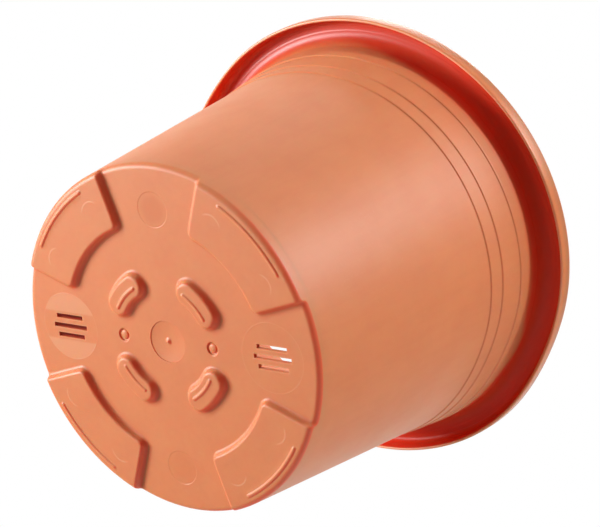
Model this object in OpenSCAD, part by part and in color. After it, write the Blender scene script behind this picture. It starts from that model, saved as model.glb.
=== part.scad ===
// Round plant pot, injection moulded in one piece and shown standing on its feet.
// Height is along Z. The origin is the centre of the base, on the standing plane,
// which the ribs on the soles of the feet touch.
// The drain discs lie on the X axis. The moulding is divided at its natural edges
// and at the rings that the mould inserts left, and the regions meet face to face.

/* [Pot] */
// Overall height, from the standing plane to the top of the rim
pot_h = 141; // [125:1:170]
// Outside diameter of the rim skirt at its lower edge
rim_d = 190; // [184:1:230]
// Outside diameter of the side wall, carried down to the standing plane
base_d = 134.4; // [130:0.2:144]
// Thickness of the side wall
wall_t = 1.4; // [1:0.1:2]
// Thickness of the floor
floor_t = 1.6; // [1.2:0.1:2.4]
// Radius of the outside edge between floor and wall
heel_r = 1.5; // [0.8:0.1:1.6]
// Radius of the inside corner between floor and wall
inner_heel_r = 1.2; // [0.6:0.1:1.5]

/* [Stacking ledges] */
// How far each ledge steps the wall outward
ledge_w = 0.5; // [0.2:0.1:0.8]
// Height over which one ledge steps out
ledge_h = 0.4; // [0.2:0.1:1]
// Depth of the first and lowest ledge below the top of the rim
ledge_1_drop = 35.5; // [33:0.5:45]
// Depth of the second ledge below the top of the rim
ledge_2_drop = 29; // [24:0.5:32]
// Depth of the third ledge below the top of the rim
ledge_3_drop = 17.5; // [14:0.5:22]

/* [Rim] */
// How far the skirt's lower edge stands out from the wall
rim_over = 12; // [11.5:0.5:16]
// Thickness of the flat flange round the mouth
flange_t = 1.6; // [1.2:0.1:2.2]
// Radius of the edge between the inside of the pot and the flange
mouth_r = 1.8; // [1:0.1:2.2]
// Height of the skirt that hangs from the flange
skirt_h = 7.5; // [6:0.5:12]
// Thickness of the skirt at its rounded lower edge
skirt_t = 1.3; // [1:0.1:1.8]
// Thickness of the skirt at its root
skirt_root_t = 1.9; // [1.4:0.1:2.4]
// How much wider the skirt is at its top than at its lower edge, on the radius
skirt_lean = 0.3; // [0:0.1:0.6]
// Radius of the outer top edge of the rim
rim_edge_r = 2.6; // [1.6:0.1:3]
// Radius of the finger groove where it leaves the wall
groove_in_r = 5.5; // [3:0.1:5.5]
// Radius of the finger groove where it meets the skirt
groove_out_r = 2.6; // [1.5:0.1:3]
// Step in the roof of the groove at the insert ring
groove_step = 0.3; // [0.1:0.1:0.5]

/* [Outer feet] */
// Depth of the channels between the feet
foot_h = 2.4; // [1.8:0.1:3]
// Width of an outer foot, from the wall's face to its inner arc
foot_w = 23.2; // [18:0.2:24]
// Gap between a drain disc and the ends of the outer feet beside it
foot_gap = 2.2; // [1.2:0.1:4]
// Corner radius of an outer foot, where it meets the floor
foot_corner_r = 3.8; // [3.2:0.1:5]
// Radius that eases each edge of a foot's side
foot_ease_r = 0.9; // [0.5:0.1:1]
// Steepness of a foot's side, in degrees from the floor
foot_side_a = 65; // [55:1:75]
// Distance from a foot's outline to the edge of the pocket inside it
pocket_inset = 0.8; // [0.6:0.1:1.2]

/* [Standing ribs] */
// Height of the thin rib on the sole of each foot, on which the pot stands
rib_h = 0.45; // [0.3:0.05:0.8]
// Width of a rib at the sole
rib_w = 1.9; // [1.2:0.1:2.2]
// Width of the flat along a rib's crest
rib_crest_w = 0.6; // [0.4:0.1:1]
// Angle from the middle of a rib to each of its rounded ends' centres, in degrees
rib_half_a = 14.5; // [10:0.5:16]
// Distance from the wall's face to the middle of an outer foot's rib
rib_inset = 3.6; // [3.3:0.1:6]

/* [Inner feet] */
// Half the width of an inner foot, where it meets the floor
bean_half_w = 6.1; // [5:0.1:7]
// Angle from the middle of an inner foot to its rounded ends' centres, in degrees
bean_half_a = 12.8; // [10:0.1:15]
// Distance that an inner foot's rib lies inside the middle of its foot
bean_rib_shift = 0.9; // [0:0.1:1.2]

/* [Drain discs] */
// Distance from the wall's face to the middle of a drain disc
drain_inset = 19.6; // [18:0.2:21]
// Radius of a drain disc
drain_r = 13.3; // [12:0.1:13.6]
// Width of the drain slots
slot_w = 1.6; // [1:0.1:2.4]
// Length of the middle slot
slot_long_l = 16.2; // [12:0.2:18]
// Length of the two side slots
slot_short_l = 12.9; // [10:0.1:15]
// Distance from one slot's middle line to the next
slot_pitch = 3.8; // [3:0.1:5]

/* [Marks in the floor] */
// Radius of the dished disc round the moulding gate
gate_r = 8; // [6:0.1:9]
// Depth of that disc's rim below the floor's face
gate_step = 0.25; // [0.1:0.05:0.4]
// Further depth of the dish in its middle
gate_dish = 0.5; // [0.2:0.05:0.6]
// Height of the small cone that the gate left
gate_cone_h = 0.9; // [0.4:0.1:1.2]
// Radius of that cone at its foot
gate_cone_r = 1.6; // [1:0.1:2]
// Distance from the wall's face to the middle of a blank disc
blank_inset = 16.8; // [13:0.2:19]
// Radius of a blank disc
blank_r = 6.7; // [5:0.1:8]
// Depth of a blank disc below the floor's face
blank_step = 0.2; // [0.1:0.05:0.4]
// Radius of the round recess of a pin mark
pin_ring_r = 2.5; // [1.8:0.1:3]
// Radius of the dome in a pin mark
pin_dome_r = 1.8; // [1.2:0.1:1.8]
// Depth of the recess of a pin mark
pin_ring_h = 0.6; // [0.3:0.1:0.8]

/* [Hidden] */
$fn = 96;
wall_colour = "#DB8156";
foot_colour = "#E48F66";
disc_colour = "#E59A78";
mark_colour = "#D67B50";
overrun = 1;

// Side wall
base_r = base_d / 2;
rim_r = rim_d / 2;
skirt_z = pot_h - skirt_h;
ledge_z = [pot_h - ledge_1_drop, pot_h - ledge_2_drop, pot_h - ledge_3_drop];
ledges_n = len(ledge_z);
sole_z = rib_h;
floor_low = sole_z + foot_h;
floor_top = floor_low + floor_t;
draft = (rim_r - rim_over - ledges_n * ledge_w - base_r) / skirt_z;
slant = sqrt(1 + draft * draft);
function wall_r(z, ledges = 0) = base_r + draft * z + ledges * ledge_w;

// Rim
flange_z = pot_h - flange_t;
band_top_share = 0.43;
band_top = pot_h - ledge_3_drop + ledge_3_drop * band_top_share;
groove_c = [wall_r(flange_z - groove_in_r, ledges_n) + groove_in_r * slant, flange_z - groove_in_r];
mouth_c = [wall_r(pot_h - mouth_r, ledges_n) - wall_t + mouth_r * slant, pot_h - mouth_r];
skirt_top_r = rim_r + skirt_lean;
skirt_root_r = skirt_top_r - skirt_root_t;
skirt_c = [skirt_root_r - groove_out_r, flange_z + groove_step - groove_out_r];
ring_share = 0.15;
ring_r = groove_c[0] + (skirt_c[0] - groove_c[0]) * ring_share;

// Discs and marks in the floor
drain_x = base_r - drain_inset;
blank_y = base_r - blank_inset;
pin_place_share = 0.487;
pin_x = gate_r + (drain_x - drain_r - gate_r) * pin_place_share;

// Feet
foot_in_r = base_r - foot_w;
foot_places_a = [45, 135, 225, 315];
foot_half_a = foot_places_a[0] - asin((drain_r + foot_gap) / drain_x);
foot_line_r = foot_in_r + foot_corner_r;
foot_line_a = foot_half_a - asin(foot_corner_r / foot_line_r);
foot_fill = wall_r(floor_top) + overrun - foot_line_r;
foot_back = (foot_line_r + foot_fill) * sin(foot_half_a - foot_line_a);
floor_far = wall_r(floor_top) + 8 * overrun;
heel_sink_share = 0.97;
foot_tan = tan(foot_side_a);
foot_run = 2 * foot_ease_r * sin(foot_side_a)
    + (foot_h - 2 * foot_ease_r * (1 - cos(foot_side_a))) / foot_tan;
pocket_out_r = wall_r(floor_top) - wall_t - inner_heel_r;
rib_r = wall_r(sole_z) - rib_inset;
bean_place_share = 0.444;
bean_r = gate_r + (foot_in_r - gate_r) * bean_place_share;

// All that lies outside the pot's outer face, whose rounded edge starts at height low
module outside(low) {
    heel_c = [wall_r(low + heel_r) - heel_r * slant, low + heel_r * heel_sink_share];
    touch = heel_c + [heel_r, -heel_r * draft] / slant;
    high = floor_top + overrun;
    rotate_extrude() difference() {
        polygon([[heel_c[0], low - overrun], [floor_far, low - overrun], [floor_far, high],
            [wall_r(high), high], touch, heel_c]);
        translate(heel_c) circle(heel_r);
    }
}

// What rounds off the square corner between the axes at the origin
module corner_cut(radius) {
    difference() {
        square(radius + overrun);
        circle(radius);
    }
}

// Side of a foot: x is the distance out from its middle line, y the height
module eased_section(reach, back) {
    low_c = [reach - foot_run, sole_z + foot_ease_r];
    high_c = [reach, floor_low - foot_ease_r];
    lean = foot_ease_r * [sin(foot_side_a), -cos(foot_side_a)];
    root = foot_ease_r * [-sin(foot_side_a / 2), cos(foot_side_a / 2)];
    polygon([[-back, sole_z], [low_c[0], sole_z], low_c + lean, high_c - lean, high_c + root,
        [reach, floor_low], [reach, floor_top], [-back, floor_top]]);
    translate(low_c) circle(foot_ease_r);
}

// Upright side, for the hole in the floor that a foot fills
module upright_section(reach, back) {
    translate([-back, floor_low - overrun]) square([reach + back, floor_t + 2 * overrun]);
}

// Side of the pocket inside a foot, which opens upward
module pocket_section(reach, back) {
    high = floor_top + overrun;
    polygon([[-back, sole_z + floor_t], [reach - foot_h / foot_tan, sole_z + floor_t],
        [reach + overrun / foot_tan, high], [-back, high]]);
}

// Carries sections along the inner arc, round the two corners and along the ends of an outer foot
module along_foot() {
    rotate([0, 0, -foot_line_a]) rotate_extrude(angle = 2 * foot_line_a)
        translate([foot_line_r, 0]) mirror([1, 0]) children(0);
    for (side = [0, 1]) mirror([0, side, 0]) rotate([0, 0, foot_line_a]) translate([foot_line_r, 0, 0]) {
        rotate_extrude() children(1);
        rotate([0, 0, 90 + foot_half_a - foot_line_a]) rotate([90, 0, 0])
            linear_extrude(foot_fill) children(2);
    }
}

// Carries a section along both sides of an arc and round its two ends
module along_arc(radius, half_a) {
    rotate([0, 0, -half_a]) rotate_extrude(angle = 2 * half_a) translate([radius, 0]) {
        children();
        mirror([1, 0]) children();
    }
    for (side = [-1, 1]) rotate([0, 0, side * half_a]) translate([radius, 0, 0])
        rotate_extrude() children();
}

module foot_hole() {
    along_foot() {
        upright_section(foot_corner_r, foot_fill);
        upright_section(foot_corner_r, 0);
        upright_section(foot_corner_r, foot_back);
    }
}

module bean_hole() {
    along_arc(bean_r, bean_half_a) upright_section(bean_half_w, 0);
}

// The thin rib with rounded ends that stands on a sole
module sole_rib(radius) {
    along_arc(radius, rib_half_a) polygon([[0, 0], [rib_crest_w / 2, 0], [rib_w / 2, sole_z],
        [rib_w / 2, sole_z + floor_t / 2], [0, sole_z + floor_t / 2]]);
}

module outer_foot() {
    difference() {
        along_foot() {
            eased_section(foot_corner_r, foot_fill);
            eased_section(foot_corner_r, 0);
            eased_section(foot_corner_r, foot_back);
        }
        outside(sole_z);
        intersection() {
            along_foot() {
                pocket_section(foot_corner_r - pocket_inset, foot_fill);
                pocket_section(foot_corner_r - pocket_inset, 0);
                pocket_section(foot_corner_r - pocket_inset, foot_back);
            }
            cylinder(r = pocket_out_r, h = floor_top + 2 * overrun);
        }
    }
    sole_rib(rib_r);
}

module inner_foot() {
    difference() {
        along_arc(bean_r, bean_half_a) eased_section(bean_half_w, 0);
        along_arc(bean_r, bean_half_a) pocket_section(bean_half_w - pocket_inset, 0);
    }
    sole_rib(bean_r - bean_rib_shift);
}

// The conical wall, with a rounded corner inside where it leaves the floor
module side_wall() {
    low_in = wall_r(floor_top) - wall_t;
    corner = [wall_r(floor_top + inner_heel_r) - wall_t - inner_heel_r * slant, floor_top + inner_heel_r];
    touch = corner + [inner_heel_r, -inner_heel_r * draft] / slant;
    color(wall_colour) rotate_extrude() difference() {
        polygon([[wall_r(floor_top), floor_top], [wall_r(ledge_z[0]), ledge_z[0]],
            [wall_r(ledge_z[0]) - wall_t, ledge_z[0]], touch, [corner[0], floor_top], [low_in, floor_top]]);
        translate(corner) circle(inner_heel_r);
    }
}

// The band of wall below the rim, with its three small outward ledges
module stacking_band() {
    outer = concat(
        [for (i = [0 : ledges_n - 1]) for (up = [0, 1])
            [wall_r(ledge_z[i] + up * ledge_h, i + up), ledge_z[i] + up * ledge_h]],
        [[wall_r(band_top, ledges_n), band_top]]
    );
    inner = [for (i = [len(outer) - 1 : -1 : 0]) outer[i] - [wall_t, 0]];
    color(wall_colour) rotate_extrude() polygon(concat(outer, inner));
}

// The wall's top, its rounded mouth and the inner part of the flange
module rim_flange() {
    wall_touch = groove_c + [-groove_in_r, groove_in_r * draft] / slant;
    mouth_touch = mouth_c + [-mouth_r, mouth_r * draft] / slant;
    mouth_low = wall_r(mouth_touch[1], ledges_n) - wall_t;
    color(wall_colour) rotate_extrude() difference() {
        polygon([[wall_r(band_top, ledges_n), band_top], wall_touch, [groove_c[0], flange_z],
            [ring_r, flange_z], [ring_r, pot_h], [mouth_low, pot_h], mouth_touch,
            [wall_r(band_top, ledges_n) - wall_t, band_top]]);
        translate(groove_c) circle(groove_in_r);
        difference() {
            polygon([mouth_touch, mouth_c, [mouth_c[0], pot_h + overrun],
                [mouth_low - overrun, pot_h + overrun], [mouth_low - overrun, mouth_touch[1]]]);
            translate(mouth_c) circle(mouth_r);
        }
    }
}

// The outer part of the flange and the skirt that hangs from it
module rim_skirt() {
    edge_c = [skirt_top_r - rim_edge_r, pot_h - rim_edge_r];
    tip_c = [rim_r - skirt_t / 2, skirt_z + skirt_t / 2];
    color(wall_colour) rotate_extrude() difference() {
        polygon([[ring_r, pot_h], [skirt_top_r, pot_h], [skirt_top_r, edge_c[1]],
            tip_c + [skirt_t / 2, 0], [rim_r, skirt_z], [rim_r - skirt_t, skirt_z],
            tip_c - [skirt_t / 2, 0], [skirt_root_r, skirt_c[1]],
            [skirt_c[0], skirt_c[1] + groove_out_r], [ring_r, skirt_c[1] + groove_out_r]]);
        translate(skirt_c) circle(groove_out_r);
        translate(edge_c) corner_cut(rim_edge_r);
        translate(tip_c) rotate(-90) corner_cut(skirt_t / 2);
        translate(tip_c) rotate(180) corner_cut(skirt_t / 2);
    }
}

// The flat floor, with a hole for every foot, disc and mark
module floor_plate() {
    color(wall_colour) difference() {
        translate([0, 0, floor_low]) cylinder(r = floor_far - overrun, h = floor_t);
        outside(floor_low);
        for (a = foot_places_a) rotate([0, 0, a]) {
            foot_hole();
            bean_hole();
        }
        translate([0, 0, floor_low - overrun]) {
            for (side = [-1, 1]) {
                translate([side * drain_x, 0, 0]) cylinder(r = drain_r, h = floor_t + 2 * overrun);
                translate([0, side * blank_y, 0]) cylinder(r = blank_r, h = floor_t + 2 * overrun);
                translate([side * pin_x, 0, 0]) cylinder(r = pin_ring_r, h = floor_t + 2 * overrun);
            }
            cylinder(r = gate_r, h = floor_t + 2 * overrun);
        }
    }
}

module foot_1() { color(foot_colour) rotate([0, 0, foot_places_a[0]]) outer_foot(); }
module foot_2() { color(foot_colour) rotate([0, 0, foot_places_a[1]]) outer_foot(); }
module foot_3() { color(foot_colour) rotate([0, 0, foot_places_a[2]]) outer_foot(); }
module foot_4() { color(foot_colour) rotate([0, 0, foot_places_a[3]]) outer_foot(); }
module inner_foot_1() { color(foot_colour) rotate([0, 0, foot_places_a[0]]) inner_foot(); }
module inner_foot_2() { color(foot_colour) rotate([0, 0, foot_places_a[1]]) inner_foot(); }
module inner_foot_3() { color(foot_colour) rotate([0, 0, foot_places_a[2]]) inner_foot(); }
module inner_foot_4() { color(foot_colour) rotate([0, 0, foot_places_a[3]]) inner_foot(); }

// A round insert in the floor with three slots along X, the middle one longer
module drain_disc() {
    color(disc_colour) difference() {
        translate([0, 0, floor_low]) cylinder(r = drain_r, h = floor_t);
        for (row = [-1 : 1]) {
            length = row == 0 ? slot_long_l : slot_short_l;
            translate([-length / 2, row * slot_pitch - slot_w / 2, floor_low - overrun])
                cube([length, slot_w, floor_t + 2 * overrun]);
        }
    }
}

module drain_disc_right() { translate([drain_x, 0, 0]) drain_disc(); }
module drain_disc_left() { translate([-drain_x, 0, 0]) drain_disc(); }

// The dished disc in the middle, with the small cone where the gate was cut
module gate_disc() {
    roof = floor_low + gate_step + gate_dish;
    dish_r = (gate_r * gate_r + gate_dish * gate_dish) / (2 * gate_dish);
    color(mark_colour) {
        rotate_extrude() difference() {
            translate([0, floor_low + gate_step]) square([gate_r, floor_t - gate_step]);
            translate([0, roof - dish_r]) circle(dish_r, $fn = 720);
        }
        translate([0, 0, roof - gate_cone_h])
            cylinder(r1 = 0, r2 = gate_cone_r, h = gate_cone_h);
    }
}

// A plain round insert set a little below the floor's face
module blank_disc() {
    color(mark_colour) translate([0, 0, floor_low + blank_step]) cylinder(r = blank_r, h = floor_t - blank_step);
}

module blank_disc_front() { translate([0, -blank_y, 0]) blank_disc(); }
module blank_disc_back() { translate([0, blank_y, 0]) blank_disc(); }

// A round recess with a low dome in it
module pin_mark() {
    ball_r = (pin_dome_r * pin_dome_r + pin_ring_h * pin_ring_h) / (2 * pin_ring_h);
    color(mark_colour) {
        translate([0, 0, floor_low + pin_ring_h]) cylinder(r = pin_ring_r, h = floor_t - pin_ring_h);
        intersection() {
            translate([0, 0, floor_low + ball_r]) sphere(ball_r);
            translate([0, 0, floor_low]) cylinder(r = pin_ring_r, h = pin_ring_h);
        }
    }
}

module pin_mark_right() { translate([pin_x, 0, 0]) pin_mark(); }
module pin_mark_left() { translate([-pin_x, 0, 0]) pin_mark(); }

side_wall();
stacking_band();
rim_flange();
rim_skirt();
floor_plate();
foot_1();
foot_2();
foot_3();
foot_4();
inner_foot_1();
inner_foot_2();
inner_foot_3();
inner_foot_4();
drain_disc_right();
drain_disc_left();
gate_disc();
blank_disc_front();
blank_disc_back();
pin_mark_right();
pin_mark_left();
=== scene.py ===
import bpy, math
import numpy as np
from mathutils import Matrix, Vector


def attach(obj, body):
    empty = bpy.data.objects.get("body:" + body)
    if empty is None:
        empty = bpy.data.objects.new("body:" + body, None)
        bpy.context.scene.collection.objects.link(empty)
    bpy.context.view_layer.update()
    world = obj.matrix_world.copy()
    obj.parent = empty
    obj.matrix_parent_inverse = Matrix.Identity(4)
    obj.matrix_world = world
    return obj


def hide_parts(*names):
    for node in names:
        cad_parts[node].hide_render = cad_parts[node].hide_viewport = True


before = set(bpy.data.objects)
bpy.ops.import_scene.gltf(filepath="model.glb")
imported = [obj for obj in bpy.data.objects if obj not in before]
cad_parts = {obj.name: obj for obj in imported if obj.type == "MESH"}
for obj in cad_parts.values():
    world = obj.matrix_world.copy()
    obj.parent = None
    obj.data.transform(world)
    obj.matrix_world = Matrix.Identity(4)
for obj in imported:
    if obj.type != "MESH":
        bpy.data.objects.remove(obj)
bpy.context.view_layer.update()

mm = 0.001

# camera: spot and axes as solved from the outlines of the base and the rim
cameraSet = {"spot": (0.40995, -0.21822, -0.46797), "across": (0.81822, 0.08892, 0.56798),
             "down": (0.09988, 0.95095, -0.29277), "lens": 107.73, "sensor": 36.0, "clip": (0.01, 20.0)}

camData = bpy.data.cameras.new("potCamera")
camData.lens, camData.sensor_width = cameraSet["lens"], cameraSet["sensor"]
camData.sensor_fit = "HORIZONTAL"
camData.clip_start, camData.clip_end = cameraSet["clip"]
potCamera = bpy.data.objects.new("potCamera", camData)
bpy.context.scene.collection.objects.link(potCamera)
across, up = Vector(cameraSet["across"]).normalized(), -Vector(cameraSet["down"])
back = across.cross(up).normalized()
up = back.cross(across)
turn = Matrix((across, up, back)).transposed()
potCamera.matrix_world = Matrix.Translation(Vector(cameraSet["spot"])) @ turn.to_4x4()
bpy.context.scene.camera = potCamera
print("camera set")


# small helpers for modelling: two lengths in metres and an angle in degrees
meshSet = {"merge": 1e-6, "degenerate": 1e-7, "smoothUnder": 50}


def deselectAll():
    if bpy.context.object and bpy.context.object.mode != "OBJECT":
        bpy.ops.object.mode_set(mode="OBJECT")
    bpy.ops.object.select_all(action="DESELECT")


def pickOnly(piece):
    deselectAll()
    piece.select_set(True)
    bpy.context.view_layer.objects.active = piece


def sectionPiece(name, section, steps):  # a closed outline in X and Z, turned once round Z
    deselectAll()
    bpy.ops.mesh.primitive_circle_add(vertices=len(section), radius=mm, fill_type="NOTHING")  # moved below
    piece = bpy.context.object
    piece.name = piece.data.name = name
    for vert, (r, z) in zip(piece.data.vertices, section):
        vert.co = (r * mm, 0.0, z * mm)
    bpy.ops.object.mode_set(mode="EDIT")
    bpy.ops.mesh.select_all(action="SELECT")
    bpy.ops.mesh.spin(steps=steps, angle=2 * math.pi, center=(0, 0, 0), axis=(0, 0, 1))
    bpy.ops.mesh.select_all(action="SELECT")
    bpy.ops.mesh.remove_doubles(threshold=meshSet["merge"])
    bpy.ops.mesh.dissolve_degenerate(threshold=meshSet["degenerate"])
    bpy.ops.mesh.select_all(action="SELECT")
    bpy.ops.mesh.delete_loose(use_verts=True, use_edges=True, use_faces=False)
    bpy.ops.mesh.select_all(action="SELECT")
    bpy.ops.mesh.normals_make_consistent(inside=False)
    bpy.ops.object.mode_set(mode="OBJECT")
    return piece


def placeInMesh(piece):  # puts the object's place into its mesh
    pickOnly(piece)
    bpy.ops.object.transform_apply(location=True, rotation=True, scale=True)


def smoothPiece(piece):
    pickOnly(piece)
    bpy.ops.object.shade_smooth_by_angle(angle=math.radians(meshSet["smoothUnder"]))


def arcPoints(centre, radius, first, last, count):
    return [(centre[0] + radius * math.cos(math.radians(first + (last - first) * i / count)),
             centre[1] + radius * math.sin(math.radians(first + (last - first) * i / count)))
            for i in range(count + 1)]


def evenly(first, last, step):  # from the first value up to, but without, the last
    count = max(1, round(abs(last - first) / step))
    return [first + (last - first) * i / count for i in range(count)]


def bandRows(bands):
    return [row for first, last, step in bands for row in evenly(first, last, step)]


# the round wall, band and rim, one unbroken skin, with a rim that is a little out of round
wallShape = {"baseR": 67.2, "draft": 14.3 / 133.5, "thick": 1.4, "height": 141.0, "seam": 6.0,
             "rowStep": 8.0, "ledges": (104.9, 111.9, 123.4), "ledgeOut": 0.5, "ledgeHigh": 0.4,
             "ledgeEase": 0.16, "ledgeFrom": 1.2, "ledgeTo": 1.6, "ledgeBend": 0.8,
             "ledgeSoft": 0.14, "ledgeCrisp": 0.02, "innerAbove": (1.4, 0.5), "innerSoft": 0.25,
             "innerSoftUp": 0.2, "innerBelow": (0.1, 1.0),
             "bandTop": 125.6, "bandStep": 2.4, "belowGroove": 0.8, "innerTop": 101.0,
             "skirtR": 95.0, "skirtLow": 133.5, "skirtThick": 1.3, "rootThick": 1.9, "lean": 0.25,
             "flange": 1.6, "flangeRows": (91.0, 89.0), "edge": 2.6,
             "mouth": 1.8, "mouthRows": (136.0, 132.0, 128.0),
             "grooveIn": 5.5, "grooveOut": 2.6, "grooveStep": 0.14, "ringAt": 0.15,
             "ringRows": ((-0.3, 0.0), (0.0, 0.3), (0.2, 0.8), (0.5, 1.0)),
             "grooveCuts": 16, "cornerCuts": 12, "mouthCuts": 10, "turns": 360,
             "pinches": ((27, 1.5, 17), (-140, 0.9, 13)), "pinchFrom": 60.0}
slant = math.hypot(1.0, wallShape["draft"])
tilt = math.degrees(math.atan(wallShape["draft"]))
allLedges = len(wallShape["ledges"])


def wallR(z, ledges=0):
    return wallShape["baseR"] + wallShape["draft"] * z + ledges * wallShape["ledgeOut"]


def ledgeRows(z, past):  # the outside of a ledge, upwards; past counts the ledges below it
    w = wallShape
    e, h, before, after = w["ledgeEase"], w["ledgeHigh"], w["ledgeFrom"], w["ledgeTo"]
    low = [(wallR(z - before, past), z - before), (wallR(z - e, past), z - e),
           (wallR(z, past) + w["ledgeCrisp"], z),
           (wallR(z + e, past) + w["ledgeSoft"], z + e * w["ledgeBend"])]
    high = [(wallR(z + h, past + 1) - w["ledgeSoft"], z + h - e * w["ledgeBend"]),
            (wallR(z + h, past + 1) - w["ledgeCrisp"], z + h),
            (wallR(z + h + e, past + 1), z + h + e), (wallR(z + after, past + 1), z + after)]
    return low + high


def innerLedgeRows(z, past):  # the inside of a ledge, downwards
    w = wallShape
    rows = [(wallR(z + off, past + 1) - w["thick"], z + off) for off in w["innerAbove"]]
    rows += [(wallR(z + w["innerSoft"], past + 1) - w["thick"] - w["innerSoft"], z + w["innerSoftUp"])]
    return rows + [(wallR(z - off, past) - w["thick"], z - off) for off in w["innerBelow"]]


def rimRows():  # from the band through the finger groove, round the skirt's lip and up to the flange
    w = wallShape
    top = w["height"] - w["flange"]
    grooveZ = top - w["grooveIn"]
    grooveR = wallR(grooveZ, allLedges) + w["grooveIn"] * slant
    overLedges = evenly(w["bandTop"], grooveZ - w["belowGroove"], w["bandStep"])
    rows = [(wallR(z, allLedges), z) for z in overLedges]
    rows += arcPoints((grooveR, grooveZ), w["grooveIn"], 180 - tilt, 90, w["grooveCuts"])
    topR = w["skirtR"] + w["lean"]
    rootR = topR - w["rootThick"]
    outC = (rootR - w["grooveOut"], top + w["grooveStep"] - w["grooveOut"])
    ringR = grooveR + (outC[0] - grooveR) * w["ringAt"]
    rows += [(ringR + off, top + w["grooveStep"] * risen) for off, risen in w["ringRows"]]
    rows += arcPoints(outC, w["grooveOut"], 90, 0, w["cornerCuts"])
    half = w["skirtThick"] / 2
    tip = (w["skirtR"] - half, w["skirtLow"] + half)
    rows += [((rootR + tip[0] - half) / 2, (outC[1] + tip[1]) / 2)]
    rows += arcPoints(tip, half, 180, 360, w["cornerCuts"])
    edge = (topR - w["edge"], w["height"] - w["edge"])
    rows += [((tip[0] + half + topR) / 2, (tip[1] + edge[1]) / 2)]
    rows += arcPoints(edge, w["edge"], 0, 90, w["cornerCuts"])
    return rows + [(r, w["height"]) for r in w["flangeRows"]]


def innerRows():  # from the mouth down the inside to the seam
    w = wallShape
    mouthZ = w["height"] - w["mouth"]
    mouthC = (wallR(mouthZ, allLedges) - w["thick"] + w["mouth"] * slant, mouthZ)
    rows = arcPoints(mouthC, w["mouth"], 90, 180 - tilt, w["mouthCuts"])
    rows += [(wallR(z, allLedges) - w["thick"], z) for z in w["mouthRows"]]
    for past, z in reversed(list(enumerate(w["ledges"]))):
        rows += innerLedgeRows(z, past)
    lower = evenly(w["innerTop"], w["seam"], w["rowStep"]) + [w["seam"]]
    return rows + [(wallR(z) - w["thick"], z) for z in lower]


def pinchRim(piece):  # draws the wall in towards the rim at two places
    w = wallShape
    for vert in piece.data.vertices:
        angle = math.degrees(math.atan2(vert.co.y, vert.co.x))
        high = max(0.0, (vert.co.z / mm - w["pinchFrom"]) / (w["height"] - w["pinchFrom"]))
        inwards = 0.0
        for at, deep, wide in w["pinches"]:
            off = (angle - at + 180) % 360 - 180
            inwards += deep * math.exp(-(off / wide) ** 2)
        share = 1 - high * inwards * mm / math.hypot(vert.co.x, vert.co.y)
        vert.co.x, vert.co.y = vert.co.x * share, vert.co.y * share


def buildWall():
    w = wallShape
    outer = [(wallR(z), z) for z in evenly(w["seam"], w["ledges"][0], w["rowStep"])]
    for past, z in enumerate(w["ledges"]):
        outer += ledgeRows(z, past)
    piece = sectionPiece("potWall", outer + rimRows() + innerRows(), w["turns"])
    pinchRim(piece)
    smoothPiece(piece)
    return piece


potWall = buildWall()
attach(potWall, "root")
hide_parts("side_wall", "stacking_band", "rim_flange", "rim_skirt")
print("wall turned", len(potWall.data.polygons))


# the base: a fine round sheet with the feet pressed into it
# each band of rows or spokes has its first place, its last place and its step
baseShape = {"channel": 2.4, "floor": 1.6, "heel": 2.3, "innerHeel": 1.2, "seam": 6.0,
             "footIn": 43.7, "footHalf": 26.3, "footCorner": 4.4,
             "topEase": 1.35, "lowEase": 1.7, "side": 68.0,
             "beanR": 24.0, "beanHalf": 12.8, "beanWide": 6.35,
             "pocketInset": 1.0, "pocketEase": 0.25, "pocketR": 65.03, "pocketEdge": 0.4,
             "gateR": 8.0, "gateStep": 0.25, "gateDish": 0.5, "coneR": 1.5, "coneHigh": 0.9, "coneBow": 1.3,
             "ribHigh": 0.45, "ribWide": 1.9, "ribHalf": 14.5, "ribFall": 2.6, "ribFlat": 0.3,
             "outerRib": 63.65, "innerRib": 23.1,
             "castFrom": (1.2, 0.5), "castWide": 0.9,
             "gateRows": (0.0, 0.3, 0.6, 0.9, 1.2, 1.5, 1.8, 2.4, 3.2, 4.2, 5.2, 6.2, 7.0,
                          7.6, 7.9, 7.999, 8.1, 8.5),
             "underBands": ((9.5, 17.4, 1.6), (17.4, 20.8, 0.25), (20.8, 22.1, 0.75), (22.1, 24.1, 0.2),
                            (24.1, 27.2, 1.1), (27.2, 30.6, 0.25), (30.6, 43.5, 1.9), (43.5, 47.2, 0.25),
                            (47.2, 62.65, 1.9), (62.65, 64.65, 0.2), (64.65, 65.2, 0.3)),
             "floorEdge": (65.03, 64.83, 64.7),
             "floorBands": ((64.9, 48.4, 2.0), (48.4, 44.6, 0.38), (44.6, 30.2, 2.4), (30.2, 27.4, 0.4),
                            (27.4, 21.0, 1.6), (21.0, 18.2, 0.4), (18.2, 2.0, 3.2)),
             "angleBands": ((0, 12.8, 1.6), (12.8, 16.0, 0.4), (16.0, 22.2, 0.68), (22.2, 26.6, 0.2),
                            (26.6, 28.2, 0.5), (28.2, 45, 1.68)),
             "wallRow": 5.3, "innerWallRow": 5.6, "heelCuts": 9, "innerHeelCuts": 6,
             "floorTo": 65.2, "soleTo": 67.0, "heelOver": 0.3, "easeOver": 2.0,
             "level": 0.001, "hair": 0.01}


def sideDrop(inside, root, edge, high):  # how far a pressed side has dropped, that far inside its outline
    a = math.radians(baseShape["side"])
    s, c = root * math.sin(a), root * (1 - math.cos(a))
    s2, c2 = edge * math.sin(a), edge * (1 - math.cos(a))
    run = s + s2 + (high - c - c2) / math.tan(a)
    t = np.clip(inside, 0, run)
    low = root - np.sqrt(np.maximum(root ** 2 - t ** 2, 0))
    mid = c + (t - s) * math.tan(a)
    end = high - edge + np.sqrt(np.maximum(edge ** 2 - (run - t) ** 2, 0))
    return np.where(t < s, low, np.where(t < run - s2, mid, end))


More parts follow.
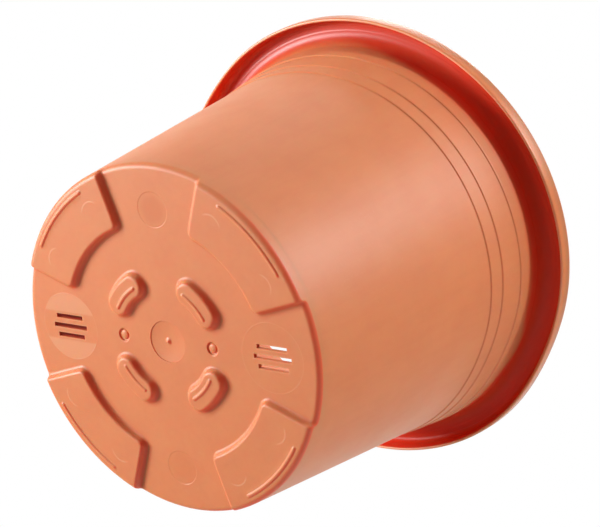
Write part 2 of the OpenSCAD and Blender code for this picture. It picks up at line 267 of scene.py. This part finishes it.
def insideFoot(r, off):  # distance inside a large foot's outline, off is the angle from its middle
    b = baseShape
    end = r * np.sin(np.radians(np.abs(off) - b["footHalf"])) + b["footCorner"]
    arc = b["footIn"] - r + b["footCorner"]
    out = np.hypot(np.maximum(end, 0), np.maximum(arc, 0)) + np.minimum(np.maximum(end, arc), 0)
    return b["footCorner"] - out


def fromArc(r, off, at, half):  # distance from an arc of radius at, half degrees long to each side
    x, y = r * np.cos(np.radians(off)), r * np.sin(np.radians(np.abs(off)))
    ex, ey = at * math.cos(math.radians(half)), at * math.sin(math.radians(half))
    return np.where(np.abs(off) < half, np.abs(r - at), np.hypot(x - ex, y - ey))


def insideBean(r, off):
    return baseShape["beanWide"] - fromArc(r, off, baseShape["beanR"], baseShape["beanHalf"])


def ribDrop(r, off):  # how far the thin rounded ribs stand out from the soles
    b = baseShape
    drop = 0.0
    for at in (b["outerRib"], b["innerRib"]):
        fall = np.clip(b["ribFall"] * fromArc(r, off, at, b["ribHalf"]) / b["ribWide"] - b["ribFlat"], 0, 1)
        drop = drop + b["ribHigh"] * (0.5 + 0.5 * np.cos(np.pi * fall))
    return drop


def underZ(r, off):  # height of the underside over the plane that the ribs' crests touch
    b = baseShape
    foot = sideDrop(insideFoot(r, off), b["lowEase"], b["topEase"], b["channel"])
    bean = sideDrop(insideBean(r, off), b["lowEase"], b["topEase"], b["channel"])
    low = b["ribHigh"] + b["channel"]
    dish = low + b["gateStep"] + b["gateDish"] * (1 - (r / b["gateR"]) ** 2)
    cone = b["coneHigh"] * np.clip(1 - r / b["coneR"], 0, 1) ** b["coneBow"]
    return np.where(r < b["gateR"], dish - cone, low - foot - bean - ribDrop(r, off))


def insideZ(r, off):  # height of the floor inside the pot
    b = baseShape
    ease, high = b["pocketEase"], b["channel"]
    edge = np.clip((b["pocketR"] - r) / b["pocketEdge"], 0, 1) * high
    foot = np.minimum(sideDrop(insideFoot(r, off) - b["pocketInset"], ease, ease, high), edge)
    bean = sideDrop(insideBean(r, off) - b["pocketInset"], ease, ease, high)
    return b["ribHigh"] + b["channel"] + b["floor"] - foot - bean


def angleStops():  # close together where the feet's ends are
    half = bandRows(baseShape["angleBands"])
    quarter = [45 - a for a in reversed(half)] + [45 + a for a in half[1:]]
    return [q * 90 + a for q in range(4) for a in quarter + [90.0]]


def heelCentre():
    z = baseShape["channel"] + baseShape["heel"]
    return wallR(z) - baseShape["heel"] * slant, z


def baseSection():  # flat under the base, round the heel to the seam, down the inside and over the floor
    b, thick = baseShape, wallShape["thick"]
    flat, top, seam = b["channel"], b["channel"] + b["floor"], b["seam"]
    rows = [(r, flat) for r in list(b["gateRows"]) + bandRows(b["underBands"])]
    rows += arcPoints(heelCentre(), b["heel"], -90, -tilt, b["heelCuts"])
    rows += [(wallR(z), z) for z in (b["wallRow"], seam)]
    rows += [(wallR(z) - thick, z) for z in (seam, b["innerWallRow"])]
    innerC = (wallR(top + b["innerHeel"]) - thick - b["innerHeel"] * slant, top + b["innerHeel"])
    rows += arcPoints(innerC, b["innerHeel"], -tilt, -90, b["innerHeelCuts"])
    # the close rows at the pockets' edge stand for the bands' first row
    return rows + [(r, top) for r in list(b["floorEdge"]) + bandRows(b["floorBands"])[1:] + [0.0]]


def pressFeet(piece, stops):  # turns the even spokes to their stops and presses the feet and pockets in
    b = baseShape
    flat, top, seam = b["channel"], b["channel"] + b["floor"], b["seam"]
    heelR, heelZ = heelCentre()
    co = np.zeros(len(piece.data.vertices) * 3)
    piece.data.vertices.foreach_get("co", co)
    co = co.reshape(-1, 3) / mm
    r, z = np.hypot(co[:, 0], co[:, 1]), co[:, 2]
    place = np.degrees(np.arctan2(co[:, 1], co[:, 0])) % 360
    step = np.rint(place / 360 * len(stops)).astype(int) % len(stops)
    angle = np.array(stops)[step]
    off = angle % 90 - 45
    onUnder = (np.abs(z - flat) < b["level"]) & (r < heelR - b["hair"])
    onFloor = (np.abs(z - top) < b["level"]) & (r < b["floorTo"])
    fromHeel = np.abs(np.hypot(r - heelR, z - heelZ) - b["heel"])
    onHeel = ~onUnder & (fromHeel < b["hair"]) & (z < heelZ + b["heelOver"])
    onWall = ~onUnder & ~onHeel & (r > wallR(z) - b["hair"])
    lower = flat - underZ(np.minimum(r, b["soleTo"]), off)
    newR, newZ = r.copy(), z + b["ribHigh"] * np.clip((seam - z) / b["easeOver"], 0, 1)
    newZ[onUnder] = underZ(r, off)[onUnder]
    newZ[onFloor] = insideZ(r, off)[onFloor]
    newZ[onHeel] = (z - lower)[onHeel]
    newR[onHeel] = (r - wallShape["draft"] * lower)[onHeel]
    reach = (seam - z) / (seam - flat - b["heel"])
    newZ[onWall] = (z - lower * reach)[onWall]
    newR[onWall] = wallR(newZ[onWall])
    co[:, 0], co[:, 1], co[:, 2] = newR * np.cos(np.radians(angle)), newR * np.sin(np.radians(angle)), newZ
    piece.data.vertices.foreach_set("co", (co * mm).ravel())
    piece.data.update()
    return co


# painted cast shadow beside the feet on the floor, moved a little away from the light
def markCastShadow(piece, co):
    b = baseShape
    x, y = co[:, 0] - b["castFrom"][0], co[:, 1] - b["castFrom"][1]
    r, off = np.hypot(x, y), np.degrees(np.arctan2(y, x)) % 90 - 45
    inside = np.maximum(insideFoot(r, off), insideBean(r, off))
    near = np.clip((inside + b["castWide"]) / (2 * b["castWide"]), 0, 1)
    castShadow = piece.data.attributes.new("castShadow", "FLOAT", "POINT")
    castShadow.data.foreach_set("value", (near * near * (3 - 2 * near)).astype(np.float32))


def buildBase():
    stops = angleStops()
    piece = sectionPiece("potBase", baseSection(), len(stops))
    markCastShadow(piece, pressFeet(piece, stops))
    return piece


# what is cut through the base or into it, and the shallow blank discs, whose step is only relief
cutShape = {"drainX": 47.6, "slotWide": 1.6, "slotLong": 16.2, "slotShort": 12.9, "slotPitch": 3.8,
            "barUp": 1.5, "barHigh": 2.6, "flare": 0.2, "flareHigh": 0.35,
            "blankY": 50.4, "blankR": 6.7, "blankDeep": 0.1,
            "pinX": 20.8, "pinR": 2.5, "pinDeep": 0.6, "pinDome": 1.8, "pinUnder": 0.6,
            "pinMouth": ((0.16, -0.02), (0.0, 0.1)), "pinRoot": ((-0.06, -0.12), (-0.2, 0.0)),
            "domeStep": 15, "pinTurns": 72}


def slotCutter(x, y, length):  # a bar whose mouth flares a little
    c = cutShape
    level = baseShape["ribHigh"] + baseShape["channel"] + c["barUp"]
    deselectAll()
    bpy.ops.mesh.primitive_cube_add(size=1, location=(x * mm, y * mm, level * mm),
                                    scale=(length * mm, c["slotWide"] * mm, c["barHigh"] * mm))
    bar = bpy.context.object
    placeInMesh(bar)
    bpy.ops.object.mode_set(mode="EDIT")
    bpy.ops.mesh.select_all(action="DESELECT")
    bpy.ops.object.mode_set(mode="OBJECT")
    for face in bar.data.polygons:
        face.select = face.normal.z < -0.9  # the lower end
    bpy.ops.object.mode_set(mode="EDIT")
    bpy.ops.mesh.select_mode(type="FACE")
    bpy.ops.mesh.extrude_region_move(TRANSFORM_OT_translate={"value": (0, 0, -c["flareHigh"] * mm)})
    bpy.ops.transform.resize(value=(1 + 2 * c["flare"] / length, 1 + 2 * c["flare"] / c["slotWide"], 1))
    bpy.ops.object.mode_set(mode="OBJECT")
    return bar


def pinCutter(x):  # a small round recess that leaves a dome in its middle
    c = cutShape
    radius, deep = c["pinR"], c["pinDeep"]
    top = baseShape["ribHigh"] + baseShape["channel"] + deep
    low = top - deep - c["pinUnder"]
    points = [(0.0, low), (radius + c["pinMouth"][0][0], low)]
    points += [(radius + out, top - deep + over) for out, over in c["pinMouth"]]
    points += [(radius + out, top + over) for out, over in c["pinRoot"]]
    turns = [math.radians(a) for a in range(0, 90, c["domeStep"])]
    points += [(c["pinDome"] * math.cos(a), top - deep * math.sin(a)) for a in turns]
    points += [(0.0, top - deep)]
    cutter = sectionPiece("recess", points, c["pinTurns"])
    cutter.location = (x * mm, 0, 0)
    placeInMesh(cutter)
    return cutter


def takeAway(piece, cutters):
    deselectAll()
    for cutter in cutters:
        cutter.select_set(True)
    bpy.context.view_layer.objects.active = cutters[0]
    bpy.ops.object.join()
    tool = bpy.context.object
    cut = piece.modifiers.new("cut", "BOOLEAN")
    cut.operation, cut.solver, cut.object = "DIFFERENCE", "EXACT", tool
    pickOnly(piece)
    bpy.ops.object.modifier_apply(modifier="cut")
    bpy.data.objects.remove(tool)


def cutBase(piece):
    c = cutShape
    sizes = ((0, c["slotLong"]), (c["slotPitch"], c["slotShort"]), (-c["slotPitch"], c["slotShort"]))
    takeAway(piece, [slotCutter(side * c["drainX"], y, size) for side in (-1, 1) for y, size in sizes])
    takeAway(piece, [pinCutter(side * c["pinX"]) for side in (-1, 1)])


potBase = buildBase()
cutBase(potBase)
smoothPiece(potBase)
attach(potBase, "root")
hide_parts("floor_plate", "foot_1", "foot_2", "foot_3", "foot_4", "inner_foot_1", "inner_foot_2",
            "inner_foot_3", "inner_foot_4", "drain_disc_right", "drain_disc_left", "gate_disc",
            "blank_disc_front", "blank_disc_back", "pin_mark_right", "pin_mark_left")
print("base pressed", len(potBase.data.polygons))


class Wire:  # a socket that can stand in a sum
    def __init__(self, book, socket):
        self.book, self.socket = book, socket

    def maths(self, kind, *rest):
        return self.book.node("ShaderNodeMath", {"operation": kind}, dict(enumerate((self,) + rest)))

    def __add__(self, other):
        return self.maths("ADD", other)

    def __sub__(self, other):
        return self.maths("SUBTRACT", other)

    def __rsub__(self, other):
        return self.book.node("ShaderNodeMath", {"operation": "SUBTRACT"}, {0: other, 1: self})

    def __mul__(self, other):
        return self.maths("MULTIPLY", other)

    def __truediv__(self, other):
        return self.maths("DIVIDE", other)

    def __rtruediv__(self, other):
        return self.book.node("ShaderNodeMath", {"operation": "DIVIDE"}, {0: other, 1: self})

    def __pow__(self, other):
        return self.maths("POWER", other)

    def __neg__(self):
        return self * -1.0

    __radd__, __rmul__ = __add__, __mul__

    def size(self):
        return self.maths("ABSOLUTE")

    def rise(self, low, high):  # 0 below low, 1 above high, soft between
        return self.book.node("ShaderNodeMapRange", {"interpolation_type": "SMOOTHSTEP"},
                              {0: self, 1: low, 2: high, 3: 0.0, 4: 1.0})

    def fall(self, low, high):  # 1 below low, 0 above high
        return 1 - self.rise(low, high)

    def near(self, value, wide):  # 1 at the value, fading to 0 that far off
        return (self - value).size().fall(0.0, wide)

    def capped(self):
        return self.maths("MINIMUM", 1.0)

    def output(self, name):  # another output of the same node
        return Wire(self.book, self.socket.node.outputs[name])


class NodeBook:
    def __init__(self, tree):
        self.tree = tree

    def node(self, kind, settings=None, values=None, out=0):
        made = self.tree.nodes.new(kind)
        for key, value in (settings or {}).items():
            setattr(made, key, value)
        for key, value in (values or {}).items():
            if isinstance(value, Wire):
                self.tree.links.new(value.socket, made.inputs[key])
            else:
                made.inputs[key].default_value = value
        return Wire(self, made.outputs[out])

    def blend(self, share, first, second):  # from the first colour to the second
        return self.node("ShaderNodeMix", {"data_type": "RGBA"}, {0: share, 6: first, 7: second}, 2)

    def noise(self, where, scale, detail, rough):
        return self.node("ShaderNodeTexNoise", {},
                         {"Vector": where, "Scale": scale, "Detail": detail, "Roughness": rough})

    def split(self, vector):
        first = self.node("ShaderNodeSeparateXYZ", {}, {0: vector})
        return first, first.output("Y"), first.output("Z")


# the colour and finish of the moulding; noises are waves to the millimetre, detail and roughness, and
# a pair is where a soft change begins and ends
plasticSet = {"orange": (0.738, 0.25, 0.097, 1), "pale": (0.78, 0.33, 0.17, 1),
              "deep": (0.67, 0.19, 0.07, 1), "roughness": 0.48, "gloss": 0.66, "grooveGloss": 0.35,
              "glow": 0.6, "glowDepth": 0.0018, "glowReach": (1.0, 0.16, 0.07),
              "grain": (1 / 0.42, 1.0, 0.5), "grainDeep": 0.024, "grainRough": 0.12,
              "fleck": (0.9, 2.0, 0.5), "fleckDeep": 0.018, "fleckFade": (0.6, 0.75), "fleckPaler": 0.12,
              "cloud": (0.055, 3.0, 0.55), "cloudDeep": 0.05, "cloudRough": 0.08, "cloudFade": (0.3, 0.75),
              "cloudShare": 0.35, "streak": (0.35, 2.0, 0.5), "streakStretch": (1, 1, 0.12),
              "streakFade": (0.4, 0.7), "streakShare": 0.12}

# what the mould left on the base, witness rings on the discs and arcs on the soles, with painted
# reflections on the flats, painted highlights round the slots and painted shade in the blank discs
markSet = {"under": (3.3, 3.6), "ringR": 13.3, "ringWide": 0.35, "ringDeep": 0.03, "discEdge": (13.1, 13.5),
           "blankSoft": 0.12, "blankFrom": 3.5, "blankShadeShare": 0.6, "blankFrontShadeLess": 0.45,
           "arcAt": 54.0, "arcR": 4.9, "arcWide": 0.55, "arcSide": (2.2, 4.4), "arcTurned": (30, 60),
           "arcDeep": 0.05, "soles": (0.6, 0.75), "flatReflections": (5.1, 6.1), "middle": (-1.0, 1.0),
           "slotReach": 1.0, "slotRimHighlight": (0.35, 0.7),
           "paler": {"flatReflections": 0.75, "drain": 0.1, "slotRimHighlight": 0.5, "arcs": 0.9, "ring": 0.3},
           "smoother": {"drain": 0.06, "blank": 0.04}}

# painted shade and painted highlights: where the plastic is painted redder, paler or browner for shadow and
# highlight, by height, radius and the way that the surface looks
shadeSet = {"shadeRed": (0.8, 0.055, 0.018, 1), "grooveShadeRed": (0.64, 0.042, 0.015, 1), "grooveShare": 0.95,
            "left": (0.66, 0.75), "leftFade": (0.05, 0.55), "leftLower": (0.3, 0.85), "leftDown": 7.0,
            "wallSide": (86, 88), "grooveLow": (127.5, 133.0), "grooveHigh": (140.2, 140.8),
            "grooveIn": (81.5, 82.0), "mouthTo": (83.5, 84.5), "mouthLooks": (-0.3, 0.0),
            "grooveSmoother": 0.14, "lipR": (90, 91),
            "lipSides": (((-0.6, -0.1), (133.6, 133.9)), ((0.2, 0.6), (134.2, 135.0))),
            "lipSmoother": 0.16, "lipHighlight": (0.92, 0.5, 0.3, 1), "lipHighlightShare": 0.8, "crestHigh": 0.7,
            "crestIn": 0.8, "crestWide": 0.9,
            "rimShadeBrown": (0.42, 0.17, 0.08, 1), "rimShadeShare": 0.55,
            "right": (0.98, -0.17), "rightFade": (0.2, 0.8), "rimR": (93.5, 94.0), "rimZ": (134.6, 138.0),
            "sideRed": (0.88, 0.125, 0.043, 1), "sideShare": 0.85,
            "awayFrom": (0.93, 0.36), "away": (0.05, 0.5), "sideLooks": (0.15, 0.35), "sideTo": (4.5, 6.0),
            "castRed": (0.66, 0.15, 0.05, 1), "castShare": 0.6,
            "castZ": (1.4, 2.2), "castLooks": (0.5, 0.8),
            "insideRed": (0.42, 0.03, 0.01, 1), "innerWall": (-0.7, -0.4), "innerFrom": (4.4, 5.5),
            "innerShare": 0.9, "floorLooks": (0.3, 0.6), "floorShare": 0.5, "insideTo": (30, 60),
            "slotSides": (12, 13), "slotLooks": (0.2, 0.4), "slotTo": (5, 6), "slotShare": 0.85}


class SkinSpot:  # a point of the pot's surface, in millimetres, and the way that the surface looks there
    def __init__(self, book):
        place = book.node("ShaderNodeTexCoord", {}, {}, "Object")
        self.where = book.node("ShaderNodeVectorMath", {"operation": "SCALE"}, {0: place, "Scale": 1 / mm})
        self.x, self.y, self.z = book.split(self.where)
        self.r = (self.x * self.x + self.y * self.y) ** 0.5
        self.nx, self.ny, self.nz = book.split(book.node("ShaderNodeNewGeometry", {}, {}, "Normal"))
        self.outward = (self.nx * self.x + self.ny * self.y) / (self.r + 0.01)  # never divided by zero

    def far(self, cx, cy):  # distance from a spot, mirrored to both sides
        dx, dy = (self.x.size() - cx if cx else self.x), (self.y.size() - cy if cy else self.y)
        return (dx * dx + dy * dy) ** 0.5


def mouldMarks(at):
    m, c = markSet, cutShape
    drain, blank = at.far(c["drainX"], 0), at.far(0, c["blankY"])
    under = at.z.fall(*m["under"])
    onDrain = under * drain.fall(*m["discEdge"])
    leftHalf = at.x.fall(*m["middle"])  # the painted reflections on the flats and the painted shade on the slots' sides are on the left disc alone
    # the ejector pins' marks on the soles are faint arcs on the outward side
    arcs = 0.0
    for turned in m["arcTurned"]:
        mx, my = m["arcAt"] * math.cos(math.radians(turned)), m["arcAt"] * math.sin(math.radians(turned))
        side = (at.x.size() * mx + at.y.size() * my) / m["arcAt"] - m["arcAt"]
        arcs = arcs + at.far(mx, my).near(m["arcR"], m["arcWide"]) * side.rise(*m["arcSide"])
    # painted highlight: a thin pale line round each slot
    slotRimHighlight = 0.0
    for row, length in ((0, c["slotLong"]), (c["slotPitch"], c["slotShort"])):
        dx = ((at.x.size() - c["drainX"]).size() - length / 2).maths("MAXIMUM", 0.0)
        dy = ((at.y.size() - row).size() - c["slotWide"] / 2).maths("MAXIMUM", 0.0)
        slotRimHighlight = slotRimHighlight + (m["slotReach"] - (dx * dx + dy * dy) ** 0.5).rise(*m["slotRimHighlight"])
    return {"drain": onDrain, "ring": under * drain.near(m["ringR"], m["ringWide"]),
            "blank": under * blank.fall(c["blankR"] - m["blankSoft"], c["blankR"] + m["blankSoft"]),
            "blankMiddle": blank.fall(m["blankFrom"], c["blankR"]),
            "flatReflections": onDrain * leftHalf * at.y.size().rise(*m["flatReflections"]),
            "arcs": arcs * at.z.fall(*m["soles"]), "slotRimHighlight": slotRimHighlight * onDrain,
            "slotSideShade": drain.fall(*shadeSet["slotSides"]) * leftHalf}


def shadeGroove(book, at, shade):  # the colour with painted shade in the groove and on the rim's right and a painted highlight on the lip's crest, and how much a spot is on the lip and in the groove
    s = shadeSet
    turnedLeft = (at.x * s["left"][0] + at.y * s["left"][1]) / -at.r
    lip = at.r.rise(*s["lipR"])
    for looks, heights in s["lipSides"]:
        lip = lip * (1 - at.outward.fall(*looks) * at.z.rise(*heights))
    # at the left the shade reaches less far down the wall
    high = at.z - turnedLeft.rise(*s["leftLower"]) * at.r.fall(*s["wallSide"]) * s["leftDown"]
    inGroove = high.rise(*s["grooveLow"]) * at.z.fall(*s["grooveHigh"])
    inGroove = inGroove * at.r.rise(*s["grooveIn"]) * (1 - lip)
    inGroove = inGroove * (at.r.rise(*s["mouthTo"]) + at.outward.rise(*s["mouthLooks"])).capped()
    # painted shade: the groove is painted deep red, darker towards the left
    red = book.blend(turnedLeft.rise(*s["leftFade"]), s["shadeRed"], s["grooveShadeRed"])
    shade = book.blend(inGroove * s["grooveShare"], shade, red)
    # painted highlight: a pale line along the lip's crest
    crestHighlight = at.z.near(wallShape["skirtLow"], s["crestHigh"])
    crestHighlight = crestHighlight * at.r.near(wallShape["skirtR"] - s["crestIn"], s["crestWide"])
    shade = book.blend(crestHighlight * s["lipHighlightShare"], shade, s["lipHighlight"])
    # painted shade: the rim's outer face on the right is painted browner
    turnedRight = ((at.x * s["right"][0] + at.y * s["right"][1]) / at.r).rise(*s["rightFade"])
    shadedRim = turnedRight * at.r.rise(*s["rimR"]) * at.z.rise(*s["rimZ"])
    return book.blend(shadedRim * s["rimShadeShare"], shade, s["rimShadeBrown"]), lip, inGroove


def shadeBase(book, at, shade, slotSideShade):
    s = shadeSet
    # painted shadow on the floor beside the feet, and painted shade on faces low on the base that look away
    # from the light
    castShadow = book.node("ShaderNodeAttribute", {"attribute_name": "castShadow"}, {}, "Fac")
    castShadow = castShadow * at.z.rise(*s["castZ"]) * (-at.nz).rise(*s["castLooks"])
    shade = book.blend(castShadow * s["castShare"], shade, s["castRed"])
    away = (at.nx * s["awayFrom"][0] + at.ny * s["awayFrom"][1]).rise(*s["away"])
    away = away * (-at.nz).rise(*s["sideLooks"]) * at.z.fall(*s["sideTo"])
    shade = book.blend(away * s["sideShare"], shade, s["sideRed"])
    # painted shade: deep inside the pot and on the sides of the left disc's slots the plastic is painted
    # dark red
    innerWall = at.outward.fall(*s["innerWall"]) * at.z.rise(*s["innerFrom"]) * s["innerShare"]
    deepShade = innerWall + at.nz.rise(*s["floorLooks"]) * s["floorShare"]
    slotSideShade = slotSideShade * at.nz.size().fall(*s["slotLooks"]) * at.z.fall(*s["slotTo"])
    return book.blend(deepShade * at.z.fall(*s["insideTo"]) + slotSideShade * s["slotShare"], shade, s["insideRed"])


def makePlastic(name, gloss):
    p, m, s = plasticSet, markSet, shadeSet
    made = bpy.data.materials.new(name)
    made.use_nodes = True
    book = NodeBook(made.node_tree)
    at = SkinSpot(book)
    marks = mouldMarks(at)
    grain, fleck, cloud = (book.noise(at.where, *p[kind]) for kind in ("grain", "fleck", "cloud"))
    upright = book.node("ShaderNodeMapping", {}, {"Vector": at.where, "Scale": p["streakStretch"]})
    streak = book.noise(upright, *p["streak"]).rise(*p["streakFade"])
    deeper = cloud.rise(*p["cloudFade"]) * p["cloudShare"] + streak * p["streakShare"]
    shade = book.blend(deeper, p["orange"], p["deep"])
    paler = sum(marks[kind] * share for kind, share in m["paler"].items())
    paler = paler + fleck.rise(*p["fleckFade"]) * p["fleckPaler"]
    shade = book.blend(paler.capped(), shade, p["pale"])
    # painted shade: the blank discs are painted darker in the middle, as a shallow dish is shaded, the
    # front disc less
    blankShade = marks["blank"] * marks["blankMiddle"]
    blankShadeShare = m["blankShadeShare"] - at.y.rise(*m["middle"]) * m["blankFrontShadeLess"]
    shade = book.blend(blankShade * blankShadeShare, shade, p["deep"])
    shade, lip, inGroove = shadeGroove(book, at, shade)
    shade = shadeBase(book, at, shade, marks["slotSideShade"])
    rough = p["roughness"] + (grain - 0.5) * p["grainRough"] + (cloud - 0.5) * p["cloudRough"]
    for kind, share in m["smoother"].items():
        rough = rough - marks[kind] * share
    rough = rough - lip * s["lipSmoother"] - inGroove * s["grooveSmoother"]
    height = grain * p["grainDeep"] + fleck * p["fleckDeep"] + cloud * p["cloudDeep"]
    height = height + marks["ring"] * m["ringDeep"] + marks["arcs"] * m["arcDeep"]
    height = height - marks["blank"] * cutShape["blankDeep"]
    bump = book.node("ShaderNodeBump", {}, {"Height": height * mm, "Strength": 1.0, "Distance": 1.0})
    skin = made.node_tree.nodes["Principled BSDF"]
    skin.inputs["Specular IOR Level"].default_value = gloss
    skin.inputs["Subsurface Weight"].default_value = p["glow"]  # light bleeds red through the thin wall
    skin.inputs["Subsurface Radius"].default_value = p["glowReach"]
    skin.inputs["Subsurface Scale"].default_value = p["glowDepth"]
    for socket, wire in (("Base Color", shade), ("Roughness", rough), ("Normal", bump)):
        made.node_tree.links.new(wire.socket, skin.inputs[socket])
    return made


# the groove's own material has less sheen, because the groove shades itself
grooveFaces = {"low": 134.3, "high": 139.95, "up": 0.35,
               "wallTo": 86, "wallLooks": -0.3, "topTo": 91, "topLooks": -0.3, "skirtLooks": -0.2}


def facesGroove(face):
    g, spot, n = grooveFaces, face.center / mm, face.normal
    far = math.hypot(spot.x, spot.y)
    out = (n.x * spot.x + n.y * spot.y) / far
    if not g["low"] < spot.z < g["high"] or n.z >= g["up"]:
        return False
    if far < g["wallTo"]:
        return out > g["wallLooks"]
    return n.z < g["topLooks"] if far < g["topTo"] else out < g["skirtLooks"]


plastic = makePlastic("terracottaPlastic", plasticSet["gloss"])
shaded = makePlastic("grooveTerracotta", plasticSet["grooveGloss"])
for piece in (potWall, potBase):
    piece.data.materials.clear()
    piece.data.materials.append(plastic)
potWall.data.materials.append(shaded)
for face in potWall.data.polygons:
    if facesGroove(face):
        face.material_index = 1
print("plastic mixed")

# the floor shows from above and lets everything through from below
floorSet = {"reach": 1.6, "corners": 96, "level": -0.0002,
            "pale": (0.86, 0.86, 0.86, 1), "fade": (0.25, 1.2)}
deselectAll()
bpy.ops.mesh.primitive_circle_add(vertices=floorSet["corners"], radius=floorSet["reach"], fill_type="NGON",
                                  location=(0, 0, floorSet["level"]))
studioFloor = bpy.context.object
studioFloor.name = studioFloor.data.name = "studioFloor"
paint = bpy.data.materials.new("floorPaint")
paint.use_nodes = True
book = NodeBook(paint.node_tree)
rays = book.node("ShaderNodeLightPath")
behind = book.node("ShaderNodeNewGeometry", {}, {}, "Backfacing")
spot = book.node("ShaderNodeTexCoord", {}, {}, "Object")
off = book.node("ShaderNodeVectorMath", {"operation": "LENGTH"}, {0: spot}, "Value")
seen = rays * (1 - behind) * off.fall(*floorSet["fade"])
clear = book.node("ShaderNodeBsdfTransparent")
matt = book.node("ShaderNodeBsdfDiffuse", {}, {"Color": floorSet["pale"]})
mixed = book.node("ShaderNodeMixShader", {}, {0: seen, 1: clear, 2: matt})
paint.node_tree.links.new(mixed.socket, paint.node_tree.nodes["Material Output"].inputs[0])
studioFloor.data.materials.append(paint)

# the room looks white; it lights the pot from above, below, behind and both sides, as the photograph
# has them, and is dark in front; above and below have a strength and what is added over the horizon
worldSet = {"above": (0.62, 0.47), "below": (1.0, 1.45), "back": 0.67, "left": 0.19, "right": 0.36,
            "horizon": (-0.15, 0.15), "mirrored": 0.03, "sheen": (0.56, 0.82), "most": 2.2, "seen": 1.0}
white = (1, 1, 1, 1)
world = bpy.data.worlds.new("studio")
bpy.context.scene.world = world
world.use_nodes = True
book = NodeBook(world.node_tree)
rays = book.node("ShaderNodeLightPath")
look = book.node("ShaderNodeTexCoord", {}, {}, "Generated")


def facing(direction):
    way = tuple(direction.normalized())
    dot = book.node("ShaderNodeVectorMath", {"operation": "DOT_PRODUCT"}, {0: look, 1: way}, "Value")
    return dot.maths("MAXIMUM", 0.0)


above, below, rear = facing(up), facing(-up), facing(-back)
left, right = facing(-across), facing(across)
upper = book.split(look)[2].rise(*worldSet["horizon"])
strength = above * above * (upper * worldSet["above"][1] + worldSet["above"][0]) \
    + below * below * (upper * worldSet["below"][1] + worldSet["below"][0]) \
    + rear * rear * worldSet["back"] + left * left * worldSet["left"] + right * right * worldSet["right"]
# mirror-like rays see the room dimly, and the white behind the pot in full
mirrored = rays.output("Is Glossy Ray")
strength = strength * (1 - mirrored * (1 - worldSet["mirrored"]))
glossy = mirrored * rear.rise(*worldSet["sheen"])
clearRays = rays.maths("MAXIMUM", rays.output("Is Transmission Ray")).maths("MAXIMUM", glossy)
dark, bright, plain = (book.node("ShaderNodeBackground", {}, {0: white, 1: level})
                       for level in (0.0, worldSet["most"], worldSet["seen"]))
room = book.node("ShaderNodeMixShader", {}, {0: strength / worldSet["most"], 1: dark, 2: bright})
shown = book.node("ShaderNodeMixShader", {}, {0: clearRays, 1: room, 2: plain})
world.node_tree.links.new(shown.socket, world.node_tree.nodes["World Output"].inputs[0])

# towards is where a lamp stands, seen from the pot's middle
lampSet = {"left": {"towards": (-0.75, -0.25, -0.6), "away": 1.1, "size": 0.5, "power": 16.0},
           "right": {"towards": (0.807, -0.504, 0.309), "away": 1.1, "size": 0.07, "power": 5.9},
           "high": {"towards": (0.62, -0.42, 0.66), "away": 1.1, "size": 0.5, "power": 2.0},
           "above": {"towards": (-0.3, -0.4, 1.0), "away": 1.3, "size": 0.6, "power": 4.0}}
middle = Vector((0, 0, 0.06))
for name, lamp in lampSet.items():
    data = bpy.data.lights.new(name, "AREA")
    data.shape, data.size, data.energy = "DISK", lamp["size"], lamp["power"]
    lampObject = bpy.data.objects.new(name, data)
    aim = Vector(lamp["towards"]).normalized()
    lampObject.location = middle + aim * lamp["away"]
    lampObject.rotation_euler = aim.to_track_quat("Z", "Y").to_euler()
    bpy.context.scene.collection.objects.link(lampObject)
print("studio lit")

bpy.context.scene.view_settings.view_transform = "Standard"
